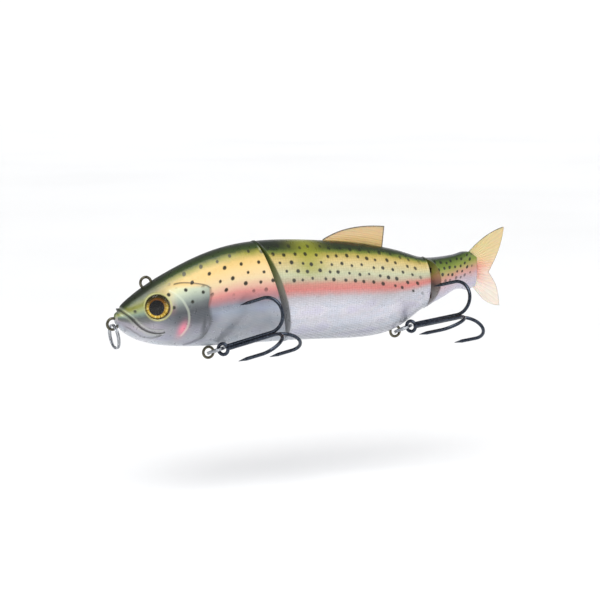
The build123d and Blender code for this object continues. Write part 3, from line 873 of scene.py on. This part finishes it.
def iris_material():
    """Gold foil with fine rays, painted shade over its top, a dark edge and a rounded black pupil that is drawn out
    forwards and down.
    """
    n = Nodes("gold_iris")
    r = n.field("radius")
    combine = n.new("ShaderNodeCombineXYZ")
    rays = n.noise(9, 4, combine.outputs[0])
    n.link(n.math("DIVIDE", n.field("turn_x"), n.math("ADD", r, 0.02)), combine.inputs[0])
    n.link(n.math("DIVIDE", n.field("turn_z"), n.math("ADD", r, 0.02)), combine.inputs[1])
    gold = n.ramp(rays, [(0.3, "8a6814"), (0.45, "cfa52e"), (0.6, "f0d668"), (0.75, "fdf2b0")])
    # Painted shade: the top of the iris is darkened as if shaded by the brow.
    gold = n.mix(n.range(n.field("turn_z"), -0.3, 0.6), gold, shade("3a3010"))
    gold = n.mix(n.math("MULTIPLY", n.range(r, 0.8, 0.93), 0.85), gold, shade("1c1c10"))
    gold = n.mix(n.math("MULTIPLY", n.range(r, 0.76, 0.66), 0.5), gold, shade("8a4c0c"))
    drawn_out = n.math("MULTIPLY", n.math("SUBTRACT", n.field("turn_x"), n.field("turn_z")), 0.1)
    reach = n.math("SUBTRACT", r, drawn_out)
    pupil = n.range(reach, 0.62, 0.58)
    n.set(Base_Color=n.mix(pupil, gold, shade("020202")), Metallic=n.range(reach, 0.56, 0.62, 0.0, 0.75))
    n.set(Roughness=n.range(rays, 0.3, 0.7, 0.3, 0.45), Specular_IOR_Level=0.2)
    n.set(Normal=n.bump(n.math("MULTIPLY", rays, n.math("SUBTRACT", 1.0, pupil)), 0.2, 0.0002))
    return n.material


def lens_material():
    n = Nodes("clear_lens")
    n.set(Base_Color=shade("fdfdfb"), Transmission_Weight=1.0, IOR=1.34)
    n.set(Roughness=n.range(n.noise(120, 2), 0.3, 0.7, 0.0, 0.012))
    return n.material


IRIS_RINGS, LENS_RINGS, EYE_SIDES = 40, 32, 96
IRIS_EDGE, IRIS_CROWN = 0.3, 0.75
IRIS, LENS = iris_material(), lens_material()


def iris_profile(r):
    return IRIS_EDGE + IRIS_CROWN * (1 - r * r)


def lens_profile(top):
    """The lens's dome for the CAD lens's height over its foil."""
    return lambda r: (top - 0.2) * (1 - 0.5 * r * r) ** 0.9


for side_name, (centre, axis, radius, top) in eye_frames.items():
    floor = centre - axis * SOCKET_DROP
    iris = disc_mesh(f"iris_{side_name}", floor, axis, radius - 0.02, iris_profile, IRIS_RINGS, EYE_SIDES)
    iris.data.materials.append(IRIS)
    lens_floor = floor + axis * 0.31
    lens = disc_mesh(f"lens_{side_name}", lens_floor, axis, radius - 0.03, lens_profile(top), LENS_RINGS, EYE_SIDES)
    lens.data.materials.append(LENS)
    lens.visible_shadow = False
    for obj, node, slot_name in ((iris, "eye_foil", "eye_foil"), (lens, "eye_lens", "eye_lens")):
        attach(obj, "head")
        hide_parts(f"{node}_{side_name}")


# --- fins ---------------------------------------------------------------------------------------
def fin_mesh(name, grid, thickness, fields):
    """A thin closed fin from a grid of points in the plane of symmetry and the thickness at each."""
    rows, cols = grid.shape[:2]
    shift = np.zeros_like(grid)
    shift[..., 1] = thickness / 2
    verts = np.concatenate([(grid + shift).reshape(-1, 3), (grid - shift).reshape(-1, 3)])
    other = rows * cols
    faces = []
    for i in range(rows - 1):
        for j in range(cols - 1):
            a, b, c, d = i * cols + j, (i + 1) * cols + j, (i + 1) * cols + j + 1, i * cols + j + 1
            faces += [(a, b, c, d), (other + d, other + c, other + b, other + a)]
    border = [i * cols for i in range(rows)] + [(rows - 1) * cols + j for j in range(1, cols)]
    border += [i * cols + cols - 1 for i in range(rows - 2, -1, -1)] + list(range(cols - 2, 0, -1))
    for a, b in zip(border, border[1:] + border[:1]):
        faces.append((b, a, other + a, other + b))
    data = {key: np.concatenate([v.ravel(), v.ravel()]) for key, v in fields.items()}
    return add_mesh(name, verts, faces, data)


def fin_material(name, stops, ray_colour, edge_colour, rays, ray_strength):
    """Soft translucent fin: tinted from root to edge, with darker rays and a dark outline."""
    n = Nodes(name)
    reach, across = n.field("reach"), n.field("across")
    mottled = n.math("ADD", reach, n.math("MULTIPLY", n.math("SUBTRACT", n.noise(180, 4), 0.5), 0.16), clamp=True)
    colour = n.ramp(mottled, stops)
    wobble = n.math("MULTIPLY", n.math("SUBTRACT", n.noise(300, 2), 0.5), 0.8)
    wave = n.math("SINE", n.math("ADD", n.math("MULTIPLY", across, rays * 2 * math.pi), wobble))
    ray = n.range(wave, 0.35, 1.0)
    colour = n.mix(n.math("MULTIPLY", ray, ray_strength), colour, shade(ray_colour))
    colour = n.mix(n.field("rim"), colour, shade(edge_colour))
    n.set(Base_Color=colour, Roughness=n.range(n.noise(700, 2), 0.3, 0.7, 0.3, 0.45), Coat_Weight=0.3)
    n.set(Subsurface_Weight=0.35, Subsurface_Scale=0.0015)
    n.set(Alpha=n.math("ADD", n.math("MULTIPLY", ray, 0.12), n.range(reach, 0.0, 0.9, 0.96, 0.72)))
    n.set(Normal=n.bump(wave, 0.14, 0.0002))
    return n


DORSAL_COLUMNS, DORSAL_ROWS = 90, 44
DORSAL_ROOT, DORSAL_LEAN = 0.7, 1.3  # depth of the root in the back, and slant of the rear edge
CAUDAL_RAYS, CAUDAL_STEPS = 130, 56
FAN_UP, FAN_DOWN, FAN_POWER = 50, 66, 1.25  # degrees of the outermost rays


def dorsal_fin():
    """Columns from the back to the CAD fin's top edge, with a rayed, thinning blade."""
    bvh = tree("dorsal_fin")
    (x1, _, _), (x2, _, _) = [np.array(c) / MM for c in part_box("dorsal_fin")]
    xs = np.linspace(x1 + 0.25, x2 - 0.12, DORSAL_COLUMNS)
    u = np.linspace(0, 1, DORSAL_COLUMNS)[:, None]
    v = np.linspace(0, 1, DORSAL_ROWS)[None]
    middle, half, _ = section(xs)
    roots = (middle + half - DORSAL_ROOT)[:, None]
    tops = np.array([cast(bvh, (x, 0.02, FAR), (0, 0, -1))[2] for x in xs])[:, None]
    tops = np.maximum(tops, roots + 0.8)
    z = roots + (tops - roots) * v
    x = xs[:, None] - DORSAL_LEAN * (1 - v) * smooth(0.75, 1.0, u)
    grid = np.stack([x, 0 * z, z], -1)
    u, v, rise = u + 0 * z, v + 0 * z, z - roots
    rim = np.maximum(smooth(0.7, 0.25, tops - z), smooth(0.7, 0.25, xs[-1] - xs)[:, None]) * (v > 0.05)
    thickness = (0.95 - 0.6 * v) * (1 + 0.16 * np.sin(rise / 0.95 * 2 * np.pi))
    return fin_mesh("dorsal_fin_blade", grid, thickness, {"reach": v, "across": rise / 12.0 + 0.05 * u, "rim": rim})


def caudal_fin():
    """Rays that fan from the wrist of the tail to the CAD fin's edge."""
    bvh = tree("caudal_fin")
    _, (x2, _, z2) = [np.array(c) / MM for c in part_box("caudal_fin")]
    root_x, low, high = 174.6, 7.4, 21.2
    leading_root, leading_bow = 21.4, 7.0  # the leading edge's height at the root, and its bow
    tip = np.array([x2 - 0.1, z2 - 0.1])
    s = np.linspace(-1, 1, CAUDAL_RAYS)
    grid, leads = [], []
    for k in s:
        root = np.array([root_x, 0.0, low + (high - low) * (k + 1) / 2])
        turn = math.radians(np.sign(k) * (FAN_UP if k > 0 else FAN_DOWN) * abs(k) ** FAN_POWER)
        way = np.array([math.cos(turn), 0.0, math.sin(turn)])
        hit = cast(bvh, root + way * 60 + np.array([0, 0.02, 0]), -way)
        reach = (hit - root) @ way if hit is not None and hit[0] > root_x + 0.8 else 3.4
        steps = np.linspace(0.5, reach, 240)
        x, z = root[0] + way[0] * steps, root[2] + way[2] * steps
        run = np.clip((x - root_x) / (tip[0] - root_x), 0, 1)
        leading = leading_root + (tip[1] - leading_root) * run + leading_bow * run * (1 - run)
        above = np.nonzero(z > leading)[0]
        leads.append(k > 0 and len(above) > 0)
        if leads[-1]:
            reach = steps[max(above[0] - 1, 0)]
        grid.append([root + way * reach * t for t in np.linspace(0, 1, CAUDAL_STEPS)])
    grid = np.array(grid)
    length = np.linalg.norm(grid[:, -1] - grid[:, 0], axis=1)[:, None]
    t = np.linspace(0, 1, CAUDAL_STEPS)[None] + 0 * length
    across = (s[:, None] + 1) / 2 + 0 * t
    thickness = (1.05 - 0.7 * t) * (1 + 0.2 * np.sin(across * 26 * 2 * np.pi) * smooth(0.05, 0.3, t))
    outline = (1 - t) * length
    rim = np.maximum(0.45 * smooth(0.5, 0.1, outline), 0.95 * smooth(1.3, 0.5, outline) * np.array(leads)[:, None])
    return fin_mesh("caudal_fin_blade", grid, thickness, {"reach": t, "across": across, "rim": rim})


DORSAL_TINTS = [(0.0, "8f7c40"), (0.22, "c9aa66"), (0.6, "dcc088"), (1.0, "d2b880")]
CAUDAL_TINTS = [(0.0, "e0c8a8"), (1.0, "ece2c4")]
LOBE_TINTS = [
    (0.0, "eeeae0"), (0.25, "efe6da"), (0.4, "eed2c4"), (0.52, "ecbca0"), (0.66, "e4cc92"), (0.92, "d6c682"),
    (1.0, "a8a058"),
]


dorsal = dorsal_fin()
dorsal.data.materials.append(fin_material("dorsal_rubber", DORSAL_TINTS, "b0905a", "4c452c", 7.0, 0.22).material)
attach(dorsal, "mid")
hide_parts("dorsal_fin")


def caudal_material():
    """Olive-yellow upper lobe, pink root and fork, and a milky lower lobe."""
    n = fin_material("caudal_rubber", CAUDAL_TINTS, "c0a886", "4b4a2c", 26.0, 0.45)
    rayed = n.shader.inputs["Base Color"].links[0].from_socket
    reach, across = n.field("reach"), n.field("across")
    colour = n.mix(0.8, rayed, n.ramp(across, LOBE_TINTS))
    from_fork = n.math("ABSOLUTE", n.math("SUBTRACT", across, 0.47))
    flesh = n.math("MULTIPLY", n.range(reach, 0.85, 0.2), n.range(from_fork, 0.28, 0.04))
    colour = n.mix(n.math("MULTIPLY", flesh, 0.8), colour, shade("e4786e"))
    wrist = n.math("MULTIPLY", n.range(reach, 0.2, 0.02), n.range(across, 0.5, 0.75))
    colour = n.mix(n.math("MULTIPLY", wrist, 0.9), colour, shade("46521c"))
    n.set(Base_Color=n.mix(n.field("rim"), colour, shade("3c4024")))
    return n.material


caudal = caudal_fin()
caudal.data.materials.append(caudal_material())
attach(caudal, "tail")
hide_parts("caudal_fin")


# --- studio -------------------------------------------------------------------------------------
AZIMUTH, ELEVATION, DISTANCE = math.radians(-26), math.radians(8), 0.9
AIM = Vector((0.0888, 0.0, 0.00485))
FLOOR_DROP = 0.06  # below the lowest point at rest, clear of the hooks when they hang
FLAT_RADIUS, COVE_RADIUS, WALL_HEIGHT = 3.5, 3.0, 4.0
FLOOR_SIDES = 96

# The floor is a wide disc that rises into a pale wall far away on all sides.
floor_z = LOW_Z - FLOOR_DROP
cove = []
for a in np.linspace(0, math.pi / 2, 16):
    cove.append((FLAT_RADIUS + COVE_RADIUS * math.sin(a), floor_z + COVE_RADIUS * (1 - math.cos(a))))
profile = [(0.5, floor_z), *cove, (FLAT_RADIUS + COVE_RADIUS, floor_z + WALL_HEIGHT)]
turns = np.linspace(0, 2 * np.pi, FLOOR_SIDES, endpoint=False)
floor_verts = [(r * math.cos(a), r * math.sin(a), z) for r, z in profile for a in turns] + [(0.0, 0.0, floor_z)]
floor_faces = []
for i in range(len(profile) - 1):
    floor_faces += ring_faces(i * FLOOR_SIDES, (i + 1) * FLOOR_SIDES, FLOOR_SIDES)
floor_faces += [(len(floor_verts) - 1, j, (j + 1) % FLOOR_SIDES) for j in range(FLOOR_SIDES)]
floor_mesh = bpy.data.meshes.new("floor")
floor_mesh.from_pydata(floor_verts, [], floor_faces)
floor_mesh.polygons.foreach_set("use_smooth", [True] * len(floor_mesh.polygons))
floor = bpy.data.objects.new("floor", floor_mesh)
bpy.context.scene.collection.objects.link(floor)
pale = Nodes("pale_floor")
pale.set(Base_Color=pale.ramp(pale.noise(3, 2), [(0.3, "f6f6f6"), (0.7, "fbfbfb")]), Roughness=0.9)
floor_mesh.materials.append(pale.material)


def area_light(name, position, size, power, colour=(1, 1, 1)):
    """A soft square light that faces the middle of the fish."""
    data = bpy.data.lights.new(name, "AREA")
    data.size, data.energy, data.color = size, power, colour
    light = bpy.data.objects.new(name, data)
    light.location = position
    light.rotation_euler = (AIM - Vector(position)).to_track_quat("-Z", "Y").to_euler()
    bpy.context.scene.collection.objects.link(light)


area_light("key", (-0.3, -0.4, 0.75), 0.4, 1.6)
area_light("fill", (0.6, -0.7, 0.3), 0.4, 0.7)
sun_data = bpy.data.lights.new("soft_sun", "SUN")
sun_data.energy, sun_data.angle = 1.7, math.radians(50)
sun = bpy.data.objects.new("soft_sun", sun_data)
sun.rotation_euler = Vector((0.2, 0.5, -1.0)).to_track_quat("-Z", "Y").to_euler()
bpy.context.scene.collection.objects.link(sun)

world = bpy.data.worlds.new("studio")
world.use_nodes = True
world.node_tree.nodes["Background"].inputs["Color"].default_value = (0.97, 0.98, 1.0, 1.0)
world.node_tree.nodes["Background"].inputs["Strength"].default_value = 0.48
bpy.context.scene.world = world
bpy.context.scene.view_settings.view_transform = "Standard"

camera_data = bpy.data.cameras.new("camera")
camera_data.lens, camera_data.sensor_width = 121.5, 36.0
camera_data.clip_start, camera_data.clip_end = 0.01, 20.0
camera = bpy.data.objects.new("camera", camera_data)
back = Vector((math.sin(AZIMUTH) * math.cos(ELEVATION), -math.cos(AZIMUTH) * math.cos(ELEVATION), math.sin(ELEVATION)))
camera.location = AIM + back * DISTANCE
camera.rotation_euler = (-back).to_track_quat("-Z", "Y").to_euler()
bpy.context.scene.collection.objects.link(camera)
bpy.context.scene.camera = camera
